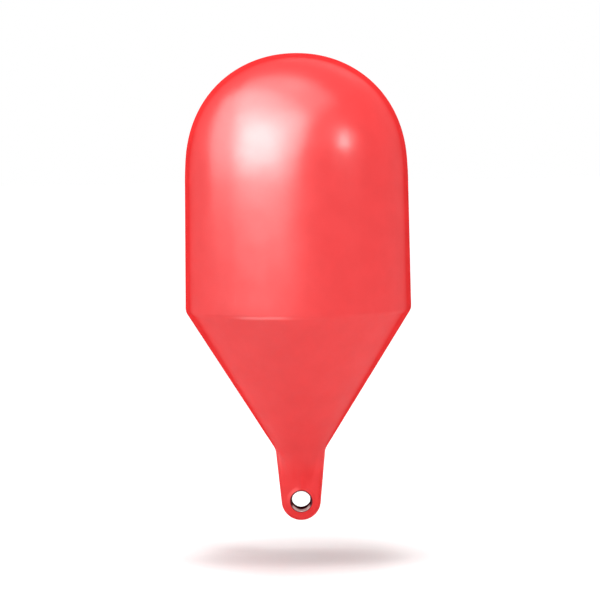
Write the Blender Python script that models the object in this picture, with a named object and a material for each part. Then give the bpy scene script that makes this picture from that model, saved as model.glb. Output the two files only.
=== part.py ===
"""A mooring buoy moulded in one piece: a domed float, a cone below it and a flat lug with one eye.

Metres, +Z up. The origin is the middle of the eye. The float's axis is Z and the eye's axis is Y.
"""

import math

import bmesh
import bpy

# Float: a slightly tapered wall with a dome on top
FLOAT_RADIUS = 0.125  # where the wall's line meets the cone's line, before that corner is rounded
WALL_HEIGHT = 0.1575  # from that corner up to the foot of the dome
WALL_DRAFT = math.radians(0.72)  # each side leans in towards the top
DOME_HEIGHT = 0.125
DOME_SQUARENESS = 2.07  # the exponent of the dome's curve, 2 for a plain ellipse
SHOULDER_ROUNDING = 0.011  # of the corner between wall and cone

# Cone
CONE_HALF_ANGLE = math.radians(32.0)
CONE_END_COVER = 0.004  # the cone's blunt end lies this far inside the lug

# Lug: a flat tongue that widens from its round tip up to the cone
LUG_LENGTH = 0.056  # from the eye's middle up to where the lug's edges meet the cone
LUG_TIP_RADIUS = 0.022
LUG_TAPER = math.radians(5.6)  # each edge leans out towards the cone
LUG_THICKNESS = 0.030
LUG_EDGE_ROUNDING = 0.0045
LUG_ROOT_COVER = 0.006  # the lug's top corners lie this far inside the cone

# Raised pad on both faces of the lug: a round boss around the eye and a rib up to the cone
PAD_RISE = 0.0015
PAD_ROUNDING = 0.001
PAD_MARGIN = 0.0005  # from the boss to where the lug's edge rounding starts
RIB_WIDTH = 0.0125

# Eye: a hole through the pad, narrowest halfway through
EYE_RADIUS = 0.010
EYE_DRAFT = math.radians(4.0)
EYE_LIP = 0.0008  # rounding of the hole's two rims
CUT_MARGIN = 0.004  # the eye's cutter runs this far past both faces

# Smoothness
FLOAT_SEGMENTS = 72
DOME_RINGS = 18
SHOULDER_RINGS = 6
TIP_SEGMENTS = 28
BOSS_SEGMENTS = 32
EYE_SEGMENTS = 40
LIP_RINGS = 4
EDGE_SEGMENTS = 5
PAD_EDGE_SEGMENTS = 2
SHARP_ANGLE = math.radians(24.0)
MERGE_DISTANCE = 1e-6

# Places that follow from the sizes above
LUG_ROOT_HALF_WIDTH = LUG_TIP_RADIUS / math.cos(LUG_TAPER) + LUG_LENGTH * math.tan(LUG_TAPER)
SHOULDER_Z = LUG_LENGTH + (FLOAT_RADIUS - LUG_ROOT_HALF_WIDTH) / math.tan(CONE_HALF_ANGLE)
DOME_FOOT_Z = SHOULDER_Z + WALL_HEIGHT
DOME_FOOT_RADIUS = FLOAT_RADIUS - WALL_HEIGHT * math.tan(WALL_DRAFT)
PAD_HALF_THICKNESS = LUG_THICKNESS / 2 + PAD_RISE
BOSS_RADIUS = LUG_TIP_RADIUS - LUG_EDGE_ROUNDING - PAD_MARGIN


def clear_scene():
    for item in list(bpy.data.objects):
        bpy.data.objects.remove(item, do_unlink=True)


def add_object(name, bm):
    """Puts a finished bmesh in the scene under this name."""
    bmesh.ops.recalc_face_normals(bm, faces=bm.faces)
    mesh = bpy.data.meshes.new(name)
    bm.to_mesh(mesh)
    bm.free()
    item = bpy.data.objects.new(name, mesh)
    bpy.context.collection.objects.link(item)
    return item


def corner_arc(corner, before, after, radius, steps):
    """Points of the arc that rounds a corner between the points before and after it."""
    to_before = (before[0] - corner[0], before[1] - corner[1])
    to_after = (after[0] - corner[0], after[1] - corner[1])
    angle_before = math.atan2(to_before[1], to_before[0])
    angle_after = math.atan2(to_after[1], to_after[0])
    opening = (angle_after - angle_before + math.pi) % (2 * math.pi) - math.pi
    middle = angle_before + opening / 2
    reach = radius / math.sin(abs(opening) / 2)
    centre = (corner[0] + reach * math.cos(middle), corner[1] + reach * math.sin(middle))
    turn = math.copysign(math.pi - abs(opening), -opening)
    start = angle_before + math.copysign(math.pi / 2, -opening)
    points = []
    for step in range(steps + 1):
        angle = start + turn * step / steps
        points.append((centre[0] + radius * math.cos(angle), centre[1] + radius * math.sin(angle)))
    return points


def float_profile():
    """Radius and height down the outside of the float, from the dome's top to the cone's blunt end."""
    points = []
    power = 2 / DOME_SQUARENESS
    for step in range(DOME_RINGS):
        angle = math.pi / 2 * (1 - step / DOME_RINGS)
        radius = 0.0 if step == 0 else DOME_FOOT_RADIUS * math.cos(angle) ** power
        points.append((radius, DOME_FOOT_Z + DOME_HEIGHT * math.sin(angle) ** power))
    dome_foot = (DOME_FOOT_RADIUS, DOME_FOOT_Z)
    shoulder = (FLOAT_RADIUS, SHOULDER_Z)
    end_radius = LUG_THICKNESS / 2 - CONE_END_COVER
    cone_end = (end_radius, SHOULDER_Z - (FLOAT_RADIUS - end_radius) / math.tan(CONE_HALF_ANGLE))
    points.append(dome_foot)
    points += corner_arc(shoulder, dome_foot, cone_end, SHOULDER_ROUNDING, SHOULDER_RINGS)
    points.append(cone_end)
    points.append((0.0, cone_end[1]))
    return points


def turned_solid(name, profile, axis, segments):
    """A solid of revolution about the world axis, from a profile of (radius, height) pairs."""
    bm = bmesh.new()
    corners = []
    for radius, height in profile:
        place = (radius, 0.0, height) if axis == "Z" else (radius, height, 0.0)
        corners.append(bm.verts.new(place))
    edges = [bm.edges.new(pair) for pair in zip(corners, corners[1:])]
    direction = (0, 0, 1) if axis == "Z" else (0, 1, 0)
    bmesh.ops.spin(
        bm, geom=corners + edges, cent=(0, 0, 0), axis=direction, angle=2 * math.pi, steps=segments
    )
    bmesh.ops.remove_doubles(bm, verts=bm.verts, dist=MERGE_DISTANCE)
    return add_object(name, bm)


def lug_outline():
    """The tongue's outline in (x, z): its round tip and two straight edges up into the cone."""
    corner = math.hypot(LUG_ROOT_HALF_WIDTH, PAD_HALF_THICKNESS)
    climb = corner - LUG_ROOT_HALF_WIDTH + LUG_ROOT_COVER
    top = LUG_LENGTH + climb / (math.tan(CONE_HALF_ANGLE) - math.tan(LUG_TAPER))
    top_half_width = LUG_ROOT_HALF_WIDTH + (top - LUG_LENGTH) * math.tan(LUG_TAPER)
    points = [(top_half_width, top), (-top_half_width, top)]
    start = math.pi - LUG_TAPER
    for step in range(TIP_SEGMENTS + 1):
        angle = start + (math.pi + 2 * LUG_TAPER) * step / TIP_SEGMENTS
        points.append((LUG_TIP_RADIUS * math.cos(angle), LUG_TIP_RADIUS * math.sin(angle)))
    return points


def pad_outline():
    """The raised pad's outline in (x, z): the round boss with the rib standing on it."""
    top = lug_outline()[0][1]
    half = RIB_WIDTH / 2
    gap = math.asin(half / BOSS_RADIUS)
    points = [(half, top), (-half, top)]
    for step in range(BOSS_SEGMENTS + 1):
        angle = math.pi / 2 + gap + (2 * math.pi - 2 * gap) * step / BOSS_SEGMENTS
        points.append((BOSS_RADIUS * math.cos(angle), BOSS_RADIUS * math.sin(angle)))
    return points


def plate(name, outline, half_thickness, rounding, segments):
    """The outline extruded through the lug, with the rims of both faces rounded."""
    bm = bmesh.new()
    front = [bm.verts.new((x, -half_thickness, z)) for x, z in outline]
    face = bm.faces.new(front)
    made = bmesh.ops.extrude_face_region(bm, geom=[face])
    back = [item for item in made["geom"] if isinstance(item, bmesh.types.BMVert)]
    bmesh.ops.translate(bm, verts=back, vec=(0, 2 * half_thickness, 0))
    rims = [edge for edge in bm.edges if edge.verts[0].co.y * edge.verts[1].co.y > 0]
    bmesh.ops.bevel(
        bm, geom=rims, offset=rounding, segments=segments, profile=0.5, affect="EDGES"
    )
    return add_object(name, bm)


def eye_profile():
    """Radius and place along Y of the eye's wall, with its flared rims."""
    end = PAD_HALF_THICKNESS + CUT_MARGIN
    rim_radius = EYE_RADIUS + PAD_HALF_THICKNESS * math.tan(EYE_DRAFT)
    waist = (EYE_RADIUS, 0.0)
    rim = (rim_radius, PAD_HALF_THICKNESS)
    outside = (rim_radius + CUT_MARGIN, PAD_HALF_THICKNESS)
    flare = corner_arc(rim, waist, outside, EYE_LIP, LIP_RINGS)
    flare.append((flare[-1][0], end))
    half = [waist] + flare + [(0.0, end)]
    mirrored = [(radius, -place) for radius, place in reversed(half[1:])]
    return mirrored + half


def moulded_plastic():
    material = bpy.data.materials.new("red_polyethylene")
    material.use_nodes = True
    shader = material.node_tree.nodes["Principled BSDF"]
    shader.inputs["Base Color"].default_value = (0.83, 0.07, 0.075, 1.0)
    shader.inputs["Roughness"].default_value = 0.35
    shader.inputs["Metallic"].default_value = 0.0
    return material


def combine(item, tool, operation):
    """Joins the tool to the item, or cuts it away."""
    step = item.modifiers.new(tool.name, "BOOLEAN")
    step.operation = operation
    step.solver = "EXACT"
    step.object = tool
    tool.hide_render = True
    tool.display_type = "WIRE"


def build_buoy():
    buoy = turned_solid("buoy_body", float_profile(), "Z", FLOAT_SEGMENTS)
    lug = plate("lug_form", lug_outline(), LUG_THICKNESS / 2, LUG_EDGE_ROUNDING, EDGE_SEGMENTS)
    pad = plate("pad_form", pad_outline(), PAD_HALF_THICKNESS, PAD_ROUNDING, PAD_EDGE_SEGMENTS)
    eye = turned_solid("eye_cutter", eye_profile(), "Y", EYE_SEGMENTS)
    combine(buoy, lug, "UNION")
    combine(buoy, pad, "UNION")
    combine(buoy, eye, "DIFFERENCE")
    bpy.context.view_layer.update()
    evaluated = buoy.evaluated_get(bpy.context.evaluated_depsgraph_get())
    moulding = bpy.data.meshes.new_from_object(evaluated)
    buoy.modifiers.clear()
    buoy.data = moulding
    for tool in (lug, pad, eye):
        bpy.data.objects.remove(tool, do_unlink=True)
    moulding.name = "buoy_body"
    moulding.materials.clear()
    moulding.materials.append(moulded_plastic())
    moulding.shade_smooth()
    moulding.set_sharp_from_angle(angle=SHARP_ANGLE)
    return buoy


def main():
    clear_scene()
    build_buoy()


main()
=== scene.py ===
"""A red moulded mooring buoy, hanging over a pale floor in soft studio light.

Metres, +Z up. The origin is the middle of the eye. The float's axis is Z and the eye's axis is Y.
"""

import math

import bmesh
import bpy
import numpy as np
from mathutils import Matrix, Vector


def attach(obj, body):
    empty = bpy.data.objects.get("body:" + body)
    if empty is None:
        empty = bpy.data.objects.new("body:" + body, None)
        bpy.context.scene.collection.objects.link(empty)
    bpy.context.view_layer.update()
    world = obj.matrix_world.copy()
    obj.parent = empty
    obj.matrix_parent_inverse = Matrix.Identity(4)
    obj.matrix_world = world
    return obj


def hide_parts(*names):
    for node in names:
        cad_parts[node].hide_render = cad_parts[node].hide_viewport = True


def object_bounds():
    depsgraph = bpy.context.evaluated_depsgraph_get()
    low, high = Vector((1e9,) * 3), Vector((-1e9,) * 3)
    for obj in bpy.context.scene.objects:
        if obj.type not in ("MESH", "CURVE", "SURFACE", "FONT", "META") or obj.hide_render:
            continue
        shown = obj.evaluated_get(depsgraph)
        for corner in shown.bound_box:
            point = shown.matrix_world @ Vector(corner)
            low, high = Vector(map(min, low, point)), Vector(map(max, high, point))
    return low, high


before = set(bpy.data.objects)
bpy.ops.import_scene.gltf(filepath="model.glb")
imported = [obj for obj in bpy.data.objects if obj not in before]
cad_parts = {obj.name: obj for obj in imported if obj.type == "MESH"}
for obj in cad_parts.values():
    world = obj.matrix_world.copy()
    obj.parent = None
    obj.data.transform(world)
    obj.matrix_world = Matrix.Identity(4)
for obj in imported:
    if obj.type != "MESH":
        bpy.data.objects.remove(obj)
CAD_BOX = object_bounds()

# The construction's sizes
FLOAT_RADIUS = 0.125
WALL_HEIGHT = 0.1575
WALL_DRAFT = math.radians(0.72)
DOME_HEIGHT = 0.125
DOME_SQUARENESS = 2.07
SHOULDER_ROUNDING = 0.011
CONE_HALF_ANGLE = math.radians(32.0)
LUG_LENGTH = 0.056
LUG_TIP_RADIUS = 0.022
LUG_TAPER = math.radians(5.6)
LUG_THICKNESS = 0.030
LUG_EDGE_ROUNDING = 0.0045
PAD_RISE = 0.0015
PAD_MARGIN = 0.0005
RIB_WIDTH = 0.0125
EYE_RADIUS = 0.010
EYE_DRAFT = math.radians(4.0)

# Places that follow from them
LUG_ROOT_HALF_WIDTH = LUG_TIP_RADIUS / math.cos(LUG_TAPER) + LUG_LENGTH * math.tan(LUG_TAPER)
SHOULDER_Z = LUG_LENGTH + (FLOAT_RADIUS - LUG_ROOT_HALF_WIDTH) / math.tan(CONE_HALF_ANGLE)
DOME_FOOT_Z = SHOULDER_Z + WALL_HEIGHT
DOME_FOOT_RADIUS = FLOAT_RADIUS - WALL_HEIGHT * math.tan(WALL_DRAFT)
BOSS_RADIUS = LUG_TIP_RADIUS - LUG_EDGE_ROUNDING - PAD_MARGIN

# Fine forms that only this script has
FOOT_BEND = 7.5  # how strongly the dome bends just over its foot, per metre
FOOT_REACH = 0.024  # that bend sets in gradually, from this far under the foot to this far over it
FOOT_FADE = 0.100  # the small draw-in that this takes has ended at this height over the foot
ROOT_FILLET = 0.002  # how far the cone and the lug's edges blend into each other, and the boss and the rib
FACE_FILLET = 0.014  # the same where the cone meets the middle of the lug's flat faces
FACE_FILLET_CORE = 0.008  # from the lug's middle line out to here the faces have that whole fillet
FACE_FILLET_END = 0.022  # and from here on they have the edges' one
PAD_SLOPE = 0.0068  # the raised pad reaches its full height this far in from its outline
EYE_LIP = 0.0016  # how far the eye's wall and the pad blend into each other
SEAM_HEIGHT = 0.00025  # the mould's parting line, a low bead in the plane of the lug
SEAM_WIDTH = 0.0005

# How finely the moulding is meshed
AROUND = 240
SEAM_LINES = 5  # extra lines on each side of the parting line
SEAM_LINE_STEP = 0.00032
DOME_RINGS = 56
WALL_RINGS = 40
SHOULDER_RINGS = 14
CONE_RINGS = 22
LUG_VOXEL = 0.00062
LUG_SMOOTHINGS = 3
LUG_SMOOTHING = 0.5  # the share of the way to its neighbours' middle that a point moves each time
LUG_SPARE = 0.004  # the lug's mesh is made this much too tall, and cut when it is finished
LUG_SMOOTHED = 0.002  # it is smoothed up to this far over the cut
JOIN_RISE = 0.012
JOIN_Z = LUG_LENGTH + JOIN_RISE  # the cut, where the surface is plain cone
JOIN_GAP = 0.001  # from the cut up to the turned part, closed by one band of triangles
MERGE_DISTANCE = 1e-6
LEAST_STEEPNESS = 0.1  # keeps a point in a crease from being thrown far

# Camera, found from the photo's outline
CAMERA_DISTANCE = 2.30
CAMERA_HEIGHT = 0.385
CAMERA_PITCH = math.radians(4.044)
CAMERA_YAW = math.radians(-0.047)
CAMERA_ROLL = math.radians(-0.84)
FOCAL_PIXELS = 2082.0
PICTURE_PIXELS = 600.0
SENSOR_WIDTH = 36.0

# Colours
PLASTIC_RED = (0.87, 0.038, 0.040, 1.0)
PLASTIC_RED_DEEP = (0.84, 0.033, 0.035, 1.0)
PLASTIC_RUBBED = (0.90, 0.16, 0.15, 1.0)
# painted shade for the inside of the eye's bore
EYE_PAINTED_SHADE = (0.022, 0.004, 0.010, 1.0)
# painted highlight for the lower front of the eye's wall
EYE_PAINTED_HIGHLIGHT = (0.98, 0.80, 0.78, 1.0)
# painted shade for a dark line round the eye's rims
EYE_RIM_PAINTED_SHADE = (0.06, 0.004, 0.008, 1.0)
WHITE = (1.0, 1.0, 1.0, 1.0)
FLOOR_PAPER = (0.8, 0.8, 0.8, 1.0)

# Gloss of the plastic, which fades where the surface turns away from the camera
IOR = 1.46
GLOSS = 0.5
GLOSS_FADE = (0.2, 0.74)
ROUGHNESS = (0.275, 0.325)

# Surface patterns: their size in metres, and the noise values between which each one fades in
MOTTLING_SIZE = 0.028
MOTTLING_FADE = (0.3, 0.7)
SATIN_SIZE = 0.017
SATIN_FADE = (0.25, 0.75)
SCUFF_SIZE = 0.004
SCUFF_STRETCH = (1.0, 1.0, 0.06)
SCUFF_FADE = (0.66, 0.72)
SCUFFED_AREA_SIZE = 0.045
SCUFFED_AREA_FADE = (0.52, 0.68)
SCUFF_TINT = 0.06
SCUFF_ROUGHNESS = 0.05
WAVE_SIZE = 0.038
WAVE_DEPTH = 0.0003
PEEL_SIZE = 0.0011
PEEL_DEPTH = 0.000012

# Wear of the lug: the heights between which it fades in, and what it does to the gloss
WEAR_FADE = (0.055, 0.025)
WEAR_ROUGHNESS = 0.15
WEAR_GLOSS_LOSS = 0.7

# Painted shade and a painted highlight in the eye: each fades in from the first to the second place, and
# then covers this share
EYE_WALL_FADE = (EYE_RADIUS + 0.0020, EYE_RADIUS + 0.0012)
EYE_RIM_SHADE_OUTER_FADE = (EYE_RADIUS + 0.0028, EYE_RADIUS + 0.0022)
EYE_RIM_SHADE_INNER_FADE = (EYE_RADIUS + 0.0008, EYE_RADIUS + 0.0012)
EYE_HIGHLIGHT_LOW_FADE = (-0.0030, -0.0075)
EYE_HIGHLIGHT_FRONT_FADE = (-0.0045, -0.0070)
EYE_RIM_SHADE_SHARE = 0.9
EYE_HIGHLIGHT_SHARE = 0.8
EYE_SHADE_SHARE = 0.95

# Floor, and the white that it shows on top of its light: the first part sets in round the shadow
FLOOR_Z = -0.066
FLOOR_SIZE = 60.0
NEAR_LIFT = 0.32
NEAR_LIFT_FADE = (0.02, 0.20)
NEAR_LIFT_SQUEEZE = 2.1  # it sets in this many times sooner in depth than to the sides
FAR_LIFT = 0.3
FAR_LIFT_FADE = (1.0, 5.0)

# Soft light from the room's walls and ceiling, by direction
ROOM_LIGHT = {
    (-1, 0, 0): 1.6,
    (1, 0, 0): 0.12,
    (0, -1, 0): 0.52,
    (0, 1, 0): 0.05,
    (0, 0, 1): 0.1,
}

# Lamps: azimuth (0 is the camera's side, 90 its right), elevation, distance, width, height and radiance
FILL_RIGHT = (60, 10, 1.5, 0.7, 1.2, 0.2)
CEILING = (0, 88, 4.0, 1.2, 1.2, 18)
SPOT_RIGHT = (51, 25, 1.5, 0.24, 0.24, 34)
FILL_BACK = (165, 35, 1.6, 0.9, 0.9, 1.5)
GLEAMS = {
    "gleam_wide": (-50, 39, 0.9, 1.9, 1.12, 7.0),
    "gleam_middle": (-31, 32, 0.9, 1.14, 0.74, 10.5),
    "gleam_core": (-35, 28, 0.9, 0.60, 0.50, 15),
    "gleam_top": (-30, 72, 0.9, 1.2, 0.7, 4.5),
    "gleam_low": (-32, -28, 0.36, 0.26, 0.13, 4.8),
}


def cone_radius(z):
    return FLOAT_RADIUS - (SHOULDER_Z - z) * math.tan(CONE_HALF_ANGLE)


def corner_arc(corner, before, after, radius, steps):
    """Points of the arc that rounds a corner between the points before and after it."""
    to_before = (before[0] - corner[0], before[1] - corner[1])
    to_after = (after[0] - corner[0], after[1] - corner[1])
    angle_before = math.atan2(to_before[1], to_before[0])
    angle_after = math.atan2(to_after[1], to_after[0])
    opening = (angle_after - angle_before + math.pi) % (2 * math.pi) - math.pi
    middle = angle_before + opening / 2
    reach = radius / math.sin(abs(opening) / 2)
    centre = (corner[0] + reach * math.cos(middle), corner[1] + reach * math.sin(middle))
    turn = math.copysign(math.pi - abs(opening), -opening)
    start = angle_before + math.copysign(math.pi / 2, -opening)
    points = []
    for step in range(steps + 1):
        angle = start + turn * step / steps
        points.append((centre[0] + radius * math.cos(angle), centre[1] + radius * math.sin(angle)))
    return points


def between(start, end, steps):
    """Evenly spaced points after start, up to and with end."""
    a, b = np.array(start), np.array(end)
    return [tuple(a + (b - a) * step / steps) for step in range(1, steps + 1)]


def smooth_step(share):
    share = np.clip(share, 0, 1)
    return share * share * (3 - 2 * share)


def foot_draw_in(z):
    """How far the surface draws in at this height, so that the wall flows into the dome's bend."""
    over = z - DOME_FOOT_Z
    near = np.clip(over, -FOOT_REACH, FOOT_REACH)
    gradual = (near + FOOT_REACH) ** 3 / (12 * FOOT_REACH)
    draw = FOOT_BEND * (gradual - np.maximum(near, 0) ** 2 / 2)
    return draw * (1 - smooth_step((over - FOOT_REACH) / (FOOT_FADE - FOOT_REACH)))


def turned_profile():
    """Radius and height down the float, from just under the dome's top to a little over the join."""
    power = 2 / DOME_SQUARENESS
    points = []
    for step in range(1, DOME_RINGS + 1):
        angle = math.pi / 2 * (1 - step / DOME_RINGS)
        radius = DOME_FOOT_RADIUS * math.cos(angle) ** power
        points.append((radius, DOME_FOOT_Z + DOME_HEIGHT * max(math.sin(angle), 0.0) ** power))
    cone_foot_z = JOIN_Z + JOIN_GAP
    cone_foot = (cone_radius(cone_foot_z), cone_foot_z)
    arc = corner_arc((FLOAT_RADIUS, SHOULDER_Z), points[-1], cone_foot, SHOULDER_ROUNDING, SHOULDER_RINGS)
    points += between(points[-1], arc[0], WALL_RINGS)
    points += arc[1:]
    points += between(arc[-1], cone_foot, CONE_RINGS)
    points = np.array(points)
    return points - profile_normals(points) * foot_draw_in(points[:, 1])[:, None]


def profile_normals(points):
    """Outward (radius, height) directions of a profile that runs down."""
    along = np.gradient(points, axis=0)
    out = np.stack([-along[:, 1], along[:, 0]], axis=1)
    return out / np.linalg.norm(out, axis=1, keepdims=True)


def seam_rise(y):
    """The surface's height against the bead's top, zero or less, at this distance from the seam."""
    return SEAM_HEIGHT * (np.exp(-((y / SEAM_WIDTH) ** 2)) - 1)


def meridians():
    """Angles round the axis, closer together on both sides of the parting line."""
    close = SEAM_LINE_STEP * np.arange(-SEAM_LINES, SEAM_LINES + 1) / FLOAT_RADIUS
    even = 2 * math.pi * np.arange(AROUND) / AROUND
    clear = (SEAM_LINES + 1) * SEAM_LINE_STEP / FLOAT_RADIUS
    from_seam = np.abs((even + math.pi / 2) % math.pi - math.pi / 2)
    return np.sort(np.concatenate([even[from_seam > clear], close % (2 * math.pi), close + math.pi]))


def blend_min(a, b, size):
    """The lower of two distances, with the corner between them filled in a smooth curve."""
    near = np.maximum(size - np.abs(a - b), 0) / size
    return np.minimum(a, b) - near * near * size / 4


def rounded_plate(outline, depth, rounding):
    """Distance to an extruded outline with round rims, from the distances to its outline and its faces."""
    side, face = outline + rounding, depth + rounding
    inside = np.minimum(np.maximum(side, face), 0)
    return inside + np.hypot(np.maximum(side, 0), np.maximum(face, 0)) - rounding


def moulding_distance(points):
    """Distance from the lug and the lower cone's surface, below zero inside the plastic."""
    x, y, z = points.T
    radius = np.hypot(x, z)
    along = z * math.cos(LUG_TAPER) + np.abs(x) * math.sin(LUG_TAPER)
    across = np.abs(x) * math.cos(LUG_TAPER) - z * math.sin(LUG_TAPER)
    tongue = np.where(along < 0, radius, across) - LUG_TIP_RADIUS
    rib = np.where(z > 0, np.abs(x), radius) - RIB_WIDTH / 2
    pad_outline = blend_min(radius - BOSS_RADIUS, rib, ROOT_FILLET)
    rise = PAD_RISE * smooth_step(-pad_outline / PAD_SLOPE)
    plate = rounded_plate(tongue, np.abs(y) - LUG_THICKNESS / 2 - rise, LUG_EDGE_ROUNDING)
    cone = (np.hypot(x, y) - cone_radius(z)) * math.cos(CONE_HALF_ANGLE)
    face = smooth_step((np.abs(y) - LUG_THICKNESS / 2) / LUG_EDGE_ROUNDING + 1)
    face *= smooth_step((FACE_FILLET_END - np.abs(x)) / (FACE_FILLET_END - FACE_FILLET_CORE))
    fillet = ROOT_FILLET + (FACE_FILLET - ROOT_FILLET) * face
    outside = blend_min(plate, cone, fillet) - seam_rise(y)
    hole = (radius - EYE_RADIUS - np.abs(y) * math.tan(EYE_DRAFT)) * math.cos(EYE_DRAFT)
    return -blend_min(-outside, hole, EYE_LIP)


def settle(points, passes=5, step=1e-5):
    """Moves points onto the surface where moulding_distance is zero."""
    for _ in range(passes):
        value = moulding_distance(points)
        slope = np.empty_like(points)
        for axis in range(3):
            shift = np.zeros(3)
            shift[axis] = step
            rise = moulding_distance(points + shift) - moulding_distance(points - shift)
            slope[:, axis] = rise / (2 * step)
        steep = np.maximum((slope**2).sum(1), LEAST_STEEPNESS)
        points = points - slope * (value / steep)[:, None]
    return points


def keep_below(bm, height, cap):
    """Cuts the mesh at a height and keeps what is below, with or without a lid."""
    geometry = bm.verts[:] + bm.edges[:] + bm.faces[:]
    made = bmesh.ops.bisect_plane(
        bm, geom=geometry, plane_co=(0, 0, height), plane_no=(0, 0, 1), clear_outer=True
    )
    rim = [item for item in made["geom_cut"] if isinstance(item, bmesh.types.BMEdge)]
    if cap:
        bmesh.ops.holes_fill(bm, edges=rim)


def positions(mesh):
    flat = np.empty(len(mesh.vertices) * 3)
    mesh.vertices.foreach_get("co", flat)
    return flat.reshape(-1, 3)


def rough_lug():
    """The lug and the cone's foot, cut off the construction's own mesh and closed."""
    bm = bmesh.new()
    bm.from_mesh(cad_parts["buoy_body"].data)
    bmesh.ops.remove_doubles(bm, verts=bm.verts, dist=MERGE_DISTANCE)
    keep_below(bm, JOIN_Z + LUG_SPARE, cap=True)
    rough = bpy.data.meshes.new("lug_rough")
    bm.to_mesh(rough)
    bm.free()
    return rough


def evenly_meshed(mesh):
    """The same form with small faces of one size."""
    guide = bpy.data.objects.new("lug_guide", mesh)
    bpy.context.scene.collection.objects.link(guide)
    remesh = guide.modifiers.new("even", "REMESH")
    remesh.mode = "VOXEL"
    remesh.voxel_size = LUG_VOXEL
    bpy.context.view_layer.update()
    even = bpy.data.meshes.new_from_object(guide.evaluated_get(bpy.context.evaluated_depsgraph_get()))
    bpy.data.objects.remove(guide, do_unlink=True)
    return even


def lug_mesh():
    """The lug and the cone's foot as an even fine mesh with blended corners, open at the join."""
    even = evenly_meshed(rough_lug())
    bm = bmesh.new()
    bm.from_mesh(even)
    for _ in range(LUG_SMOOTHINGS):
        free = [v for v in bm.verts if v.co.z < JOIN_Z + LUG_SMOOTHED]
        bmesh.ops.smooth_vert(
            bm, verts=free, factor=LUG_SMOOTHING, use_axis_x=True, use_axis_y=True, use_axis_z=True
        )
        placed = settle(np.array([v.co for v in free]))
        for vert, place in zip(free, placed):
            vert.co = place
    keep_below(bm, JOIN_Z, cap=False)
    bm.to_mesh(even)
    bm.free()
    return even


def rim_of(mesh):
    """Indices of the open rim's vertices, in order of their angle round the axis."""
    used = {}
    for polygon in mesh.polygons:
        for key in polygon.edge_keys:
            used[key] = used.get(key, 0) + 1
    rim = {vertex for key, count in used.items() if count == 1 for vertex in key}
    places = positions(mesh)
    return sorted(rim, key=lambda i: math.atan2(places[i][1], places[i][0]) % (2 * math.pi))


def zip_rings(upper, lower, angle_of):
    """Triangles that join two rings of different counts, both sorted by angle."""
    faces = []
    a, b = 0, 0
    while a < len(upper) or b < len(lower):
        next_a = angle_of(upper[a + 1]) if a + 1 < len(upper) else 2 * math.pi + angle_of(upper[0])
        next_b = angle_of(lower[b + 1]) if b + 1 < len(lower) else 2 * math.pi + angle_of(lower[0])
        here_a, here_b = upper[a % len(upper)], lower[b % len(lower)]
        if b >= len(lower) or (a < len(upper) and next_a <= next_b):
            faces.append((here_a, here_b, upper[(a + 1) % len(upper)]))
            a += 1
        else:
            faces.append((here_b, lower[(b + 1) % len(lower)], here_a))
            b += 1
    return faces


def turned_part(profile, angles):
    """Vertices and faces of the float: the dome's top, then one ring for each point of the profile."""
    count = len(angles)
    around = np.stack([np.cos(angles), np.sin(angles)], axis=1)
    vertices = [np.array([[0.0, 0.0, DOME_FOOT_Z + DOME_HEIGHT]])]
    for (radius, height), (out, up) in zip(profile, profile_normals(profile)):
        rise = seam_rise(radius * around[:, 1])
        flat = around * (radius + rise * out)[:, None]
        vertices.append(np.column_stack([flat, height + rise * up]))
    faces = [(0, 1 + i, 1 + (i + 1) % count) for i in range(count)]
    for ring in range(len(profile) - 1):
        start = 1 + ring * count
        for i in range(count):
            j = (i + 1) % count
            faces.append((start + i, start + count + i, start + count + j, start + j))
    return np.concatenate(vertices), faces


def point_faces_outward(mesh):
    bm = bmesh.new()
    bm.from_mesh(mesh)
    bmesh.ops.recalc_face_normals(bm, faces=bm.faces)
    bm.to_mesh(mesh)
    bm.free()


def moulded_buoy():
    """The whole moulding as one closed fine mesh."""
    angles = meridians()
    turned, faces = turned_part(turned_profile(), angles)
    lug = lug_mesh()
    places = np.concatenate([turned, positions(lug)])
    first = len(turned)
    faces += [tuple(first + v for v in polygon.vertices) for polygon in lug.polygons]
    faces += zip_rings(
        list(range(first - len(angles), first)),
        [first + i for i in rim_of(lug)],
        lambda i: math.atan2(places[i][1], places[i][0]) % (2 * math.pi),
    )
    mesh = bpy.data.meshes.new("moulded_buoy")
    mesh.from_pydata(places.tolist(), [], faces)
    point_faces_outward(mesh)
    mesh.shade_smooth()
    buoy = bpy.data.objects.new("moulded_buoy", mesh)
    bpy.context.scene.collection.objects.link(buoy)
    bpy.data.meshes.remove(lug)
    return buoy


def noise(tree, place, size, detail, stretch=None):
    """Values around 0.5 that vary over about this many metres."""
    made = tree.nodes.new("ShaderNodeTexNoise")
    made.inputs["Scale"].default_value = 1.0 / size
    made.inputs["Detail"].default_value = detail
    if stretch:
        shaped = tree.nodes.new("ShaderNodeMapping")
        shaped.inputs["Scale"].default_value = stretch
        tree.links.new(place, shaped.inputs["Vector"])
        place = shaped.outputs["Vector"]
    tree.links.new(place, made.inputs["Vector"])
    return made.outputs["Fac"]


def ramp(tree, value, fade, low=0.0, high=1.0):
    """Low before the fade's first value and high after its second, with a smooth step between."""
    made = tree.nodes.new("ShaderNodeMapRange")
    made.interpolation_type = "SMOOTHSTEP"
    made.inputs["From Min"].default_value = fade[0]
    made.inputs["From Max"].default_value = fade[1]
    made.inputs["To Min"].default_value = low
    made.inputs["To Max"].default_value = high
    tree.links.new(value, made.inputs["Value"])
    return made.outputs["Result"]


def maths(tree, operation, first, second):
    """One step of arithmetic on two values, each a number or another node's output."""
    made = tree.nodes.new("ShaderNodeMath")
    made.operation = operation
    for socket, value in zip(made.inputs, (first, second)):
        if isinstance(value, (int, float)):
            socket.default_value = value
        else:
            tree.links.new(value, socket)
    return made.outputs[0]


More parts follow.
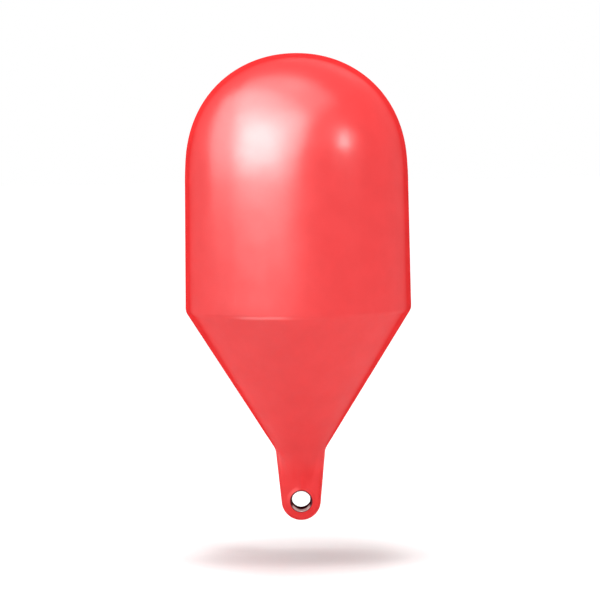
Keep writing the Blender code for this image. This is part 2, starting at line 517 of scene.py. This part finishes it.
def tinted(tree, colour, share, tint):
    """The colour with a share of it turned to the tint."""
    made = tree.nodes.new("ShaderNodeMix")
    made.data_type = "RGBA"
    tree.links.new(share, made.inputs["Factor"])
    if isinstance(colour, tuple):
        made.inputs["A"].default_value = colour
    else:
        tree.links.new(colour, made.inputs["A"])
    made.inputs["B"].default_value = tint
    return made.outputs["Result"]


def bump(tree, height, distance, before=None):
    """Surface relief of this depth, on top of the relief before it."""
    made = tree.nodes.new("ShaderNodeBump")
    made.inputs["Strength"].default_value = 1.0
    made.inputs["Distance"].default_value = distance
    tree.links.new(height, made.inputs["Height"])
    if before:
        tree.links.new(before, made.inputs["Normal"])
    return made.outputs["Normal"]


def axes_of(tree, place):
    """The x, y and z of a place."""
    axes = tree.nodes.new("ShaderNodeSeparateXYZ")
    tree.links.new(place, axes.inputs[0])
    return axes.outputs["X"], axes.outputs["Y"], axes.outputs["Z"]


def product(tree, *values):
    result = values[0]
    for value in values[1:]:
        result = maths(tree, "MULTIPLY", result, value)
    return result


def eye_painted_light(tree, place):
    """Where the eye's wall gets a painted highlight low at its front, where the rest of it gets painted
    shade, and a painted dark line of shade round its rims.
    """
    x, y, z = axes_of(tree, place)
    squares = maths(tree, "ADD", product(tree, x, x), product(tree, z, z))
    radius = maths(tree, "SQRT", squares, 0.0)
    wall = ramp(tree, radius, EYE_WALL_FADE)
    low = ramp(tree, z, EYE_HIGHLIGHT_LOW_FADE)
    front = ramp(tree, y, EYE_HIGHLIGHT_FRONT_FADE)
    # painted highlight: the lower front of the eye's wall
    painted_highlight = product(tree, wall, low, front)
    # painted shade: the rest of the eye's wall
    painted_shade = maths(tree, "SUBTRACT", wall, painted_highlight)
    # painted shade: a dark line round the eye's rims
    rim_shade = product(tree, ramp(tree, radius, EYE_RIM_SHADE_OUTER_FADE), ramp(tree, radius, EYE_RIM_SHADE_INNER_FADE))
    return painted_highlight, painted_shade, rim_shade


def scuff_marks(tree, place):
    """Short upright scuffs, in some areas only."""
    scuffs = ramp(tree, noise(tree, place, SCUFF_SIZE, detail=3.0, stretch=SCUFF_STRETCH), SCUFF_FADE)
    areas = ramp(tree, noise(tree, place, SCUFFED_AREA_SIZE, detail=2.0), SCUFFED_AREA_FADE)
    return product(tree, scuffs, areas)


def plastic_colour(tree, place, scuffs):
    """A faintly mottled red, with the scuffs on it, and the painted shade and painted highlight of the eye.
    """
    mottling = ramp(tree, noise(tree, place, MOTTLING_SIZE, detail=3.0), MOTTLING_FADE)
    painted_highlight, painted_shade, rim_shade = eye_painted_light(tree, place)
    colour = tinted(tree, PLASTIC_RED, mottling, PLASTIC_RED_DEEP)
    colour = tinted(tree, colour, product(tree, scuffs, SCUFF_TINT), PLASTIC_RUBBED)
    # painted shade round the eye's rims
    colour = tinted(tree, colour, product(tree, rim_shade, EYE_RIM_SHADE_SHARE), EYE_RIM_PAINTED_SHADE)
    # painted highlight on the eye's lower front wall
    colour = tinted(tree, colour, product(tree, painted_highlight, EYE_HIGHLIGHT_SHARE), EYE_PAINTED_HIGHLIGHT)
    # painted shade inside the eye
    return tinted(tree, colour, product(tree, painted_shade, EYE_SHADE_SHARE), EYE_PAINTED_SHADE)


def plastic_roughness(tree, place, scuffs, worn):
    """Satin, a little duller on the scuffs and on the worn lug."""
    satin = ramp(tree, noise(tree, place, SATIN_SIZE, detail=4.0), SATIN_FADE, *ROUGHNESS)
    dull = maths(tree, "ADD", product(tree, scuffs, SCUFF_ROUGHNESS), product(tree, worn, WEAR_ROUGHNESS))
    return maths(tree, "ADD", satin, dull)


def plastic_gloss(tree, worn):
    """How strongly the surface mirrors: less at a glance, and less on the worn lug."""
    glance = tree.nodes.new("ShaderNodeLayerWeight").outputs["Facing"]
    kept = maths(tree, "SUBTRACT", 1.0, product(tree, worn, WEAR_GLOSS_LOSS))
    return product(tree, kept, ramp(tree, glance, GLOSS_FADE, GLOSS, 0.0))


def plastic_relief(tree, place):
    """Soft waves with a faint orange peel on them."""
    waves = bump(tree, noise(tree, place, WAVE_SIZE, detail=1.0), WAVE_DEPTH)
    return bump(tree, noise(tree, place, PEEL_SIZE, detail=2.0), PEEL_DEPTH, waves)


def red_plastic():
    """Red polyethylene as it leaves the mould, with light rubbing and a lug that ropes have dulled."""
    material = bpy.data.materials.new("red_polyethylene")
    material.use_nodes = True
    tree = material.node_tree
    shader = tree.nodes["Principled BSDF"]
    shader.inputs["IOR"].default_value = IOR
    place = tree.nodes.new("ShaderNodeTexCoord").outputs["Object"]
    scuffs = scuff_marks(tree, place)
    worn = ramp(tree, axes_of(tree, place)[2], WEAR_FADE)
    tree.links.new(plastic_colour(tree, place, scuffs), shader.inputs["Base Color"])
    tree.links.new(plastic_roughness(tree, place, scuffs, worn), shader.inputs["Roughness"])
    tree.links.new(plastic_gloss(tree, worn), shader.inputs["Specular IOR Level"])
    tree.links.new(plastic_relief(tree, place), shader.inputs["Normal"])
    return material


def seen_as_background(tree):
    """One for the rays that show the background: the camera's, and those that mirrors and glass send on."""
    paths = tree.nodes.new("ShaderNodeLightPath")
    mirrored = maths(tree, "ADD", paths.outputs["Is Glossy Ray"], paths.outputs["Is Transmission Ray"])
    return maths(tree, "MINIMUM", maths(tree, "ADD", mirrored, paths.outputs["Is Camera Ray"]), 1.0)


def distance(tree, place, squeeze):
    """Distance over the floor from under the buoy, with the depth counted this many times."""
    scaled = tree.nodes.new("ShaderNodeVectorMath")
    scaled.operation = "MULTIPLY"
    scaled.inputs[1].default_value = (1.0, squeeze, 0.0)
    tree.links.new(place, scaled.inputs[0])
    length = tree.nodes.new("ShaderNodeVectorMath")
    length.operation = "LENGTH"
    tree.links.new(scaled.outputs["Vector"], length.inputs[0])
    return length.outputs["Value"]


def floor_material():
    """Pale paper. It shows as white further out, and keeps the buoy's soft shadow."""
    material = bpy.data.materials.new("floor_paper")
    material.use_nodes = True
    tree = material.node_tree
    tree.nodes.clear()
    paper = tree.nodes.new("ShaderNodeBsdfDiffuse")
    paper.inputs["Color"].default_value = FLOOR_PAPER
    place = tree.nodes.new("ShaderNodeTexCoord").outputs["Object"]
    near = ramp(tree, distance(tree, place, NEAR_LIFT_SQUEEZE), NEAR_LIFT_FADE, 0.0, NEAR_LIFT)
    far = ramp(tree, distance(tree, place, 1.0), FAR_LIFT_FADE, 0.0, FAR_LIFT)
    strength = product(tree, maths(tree, "ADD", near, far), seen_as_background(tree))
    lift = tree.nodes.new("ShaderNodeEmission")
    tree.links.new(strength, lift.inputs["Strength"])
    both = tree.nodes.new("ShaderNodeAddShader")
    out = tree.nodes.new("ShaderNodeOutputMaterial")
    tree.links.new(paper.outputs[0], both.inputs[0])
    tree.links.new(lift.outputs[0], both.inputs[1])
    tree.links.new(both.outputs[0], out.inputs["Surface"])
    return material


def studio_floor():
    half = FLOOR_SIZE / 2
    corners = [(x * half, y * half, FLOOR_Z) for x, y in ((-1, -1), (1, -1), (1, 1), (-1, 1))]
    mesh = bpy.data.meshes.new("floor")
    mesh.from_pydata(corners, [], [(0, 1, 2, 3)])
    mesh.materials.append(floor_material())
    floor = bpy.data.objects.new("floor", mesh)
    bpy.context.scene.collection.objects.link(floor)


def room_light(tree):
    """Strength of the room's light from each direction."""
    place = tree.nodes.new("ShaderNodeTexCoord").outputs["Generated"]
    total = 0.0
    for direction, strength in ROOM_LIGHT.items():
        facing = tree.nodes.new("ShaderNodeVectorMath")
        facing.operation = "DOT_PRODUCT"
        facing.inputs[1].default_value = direction
        tree.links.new(place, facing.inputs[0])
        side = maths(tree, "MAXIMUM", facing.outputs["Value"], 0.0)
        total = maths(tree, "ADD", total, product(tree, side, strength))
    return total


def studio_world():
    """White where it shows as the background. For the rest it is a room whose walls give soft light."""
    world = bpy.data.worlds.new("studio")
    bpy.context.scene.world = world
    world.use_nodes = True
    tree = world.node_tree
    tree.nodes.clear()
    room = tree.nodes.new("ShaderNodeBackground")
    room.inputs["Color"].default_value = WHITE
    tree.links.new(room_light(tree), room.inputs["Strength"])
    white = tree.nodes.new("ShaderNodeBackground")
    white.inputs["Color"].default_value = WHITE
    mix = tree.nodes.new("ShaderNodeMixShader")
    out = tree.nodes.new("ShaderNodeOutputWorld")
    tree.links.new(seen_as_background(tree), mix.inputs["Fac"])
    tree.links.new(room.outputs[0], mix.inputs[1])
    tree.links.new(white.outputs[0], mix.inputs[2])
    tree.links.new(mix.outputs[0], out.inputs["Surface"])


def softbox(name, azimuth, elevation, distance, width, height, radiance, diffuse=True, glossy=True):
    """A rectangular lamp that faces the float's middle."""
    target = Vector((0, 0, (CAD_BOX[0].z + CAD_BOX[1].z) / 2))
    a, e = math.radians(azimuth), math.radians(elevation)
    away = Vector((math.sin(a) * math.cos(e), -math.cos(a) * math.cos(e), math.sin(e)))
    data = bpy.data.lights.new(name, "AREA")
    data.shape = "RECTANGLE"
    data.size = width
    data.size_y = height
    data.energy = radiance * math.pi * width * height
    lamp = bpy.data.objects.new(name, data)
    lamp.location = target + away * distance
    lamp.rotation_mode = "QUATERNION"
    lamp.rotation_quaternion = away.to_track_quat("Z", "Y")
    lamp.visible_camera = False
    lamp.visible_diffuse = diffuse
    lamp.visible_glossy = glossy
    bpy.context.scene.collection.objects.link(lamp)


def studio_lights():
    """Soft fill that lights the form, and nested softboxes that only show as the broad highlight."""
    softbox("fill_right", *FILL_RIGHT, glossy=False)
    softbox("ceiling", *CEILING, glossy=False)
    softbox("spot_right", *SPOT_RIGHT)
    for name, lamp in GLEAMS.items():
        softbox(name, *lamp, diffuse=False)
    softbox("fill_back", *FILL_BACK)


def camera():
    data = bpy.data.cameras.new("camera")
    data.sensor_width = SENSOR_WIDTH
    data.lens = FOCAL_PIXELS / PICTURE_PIXELS * SENSOR_WIDTH
    item = bpy.data.objects.new("camera", data)
    turn = Matrix.Rotation(CAMERA_YAW, 4, "Z")
    tilt = Matrix.Rotation(math.pi / 2 - CAMERA_PITCH, 4, "X")
    roll = Matrix.Rotation(CAMERA_ROLL, 4, "Z")
    item.matrix_world = Matrix.Translation((0, -CAMERA_DISTANCE, CAMERA_HEIGHT)) @ turn @ tilt @ roll
    bpy.context.scene.collection.objects.link(item)
    bpy.context.scene.camera = item


buoy = moulded_buoy()
buoy.data.materials.append(red_plastic())
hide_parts("buoy_body")
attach(buoy, "root")
studio_floor()
studio_world()
studio_lights()
camera()
bpy.context.scene.view_settings.view_transform = "Standard"
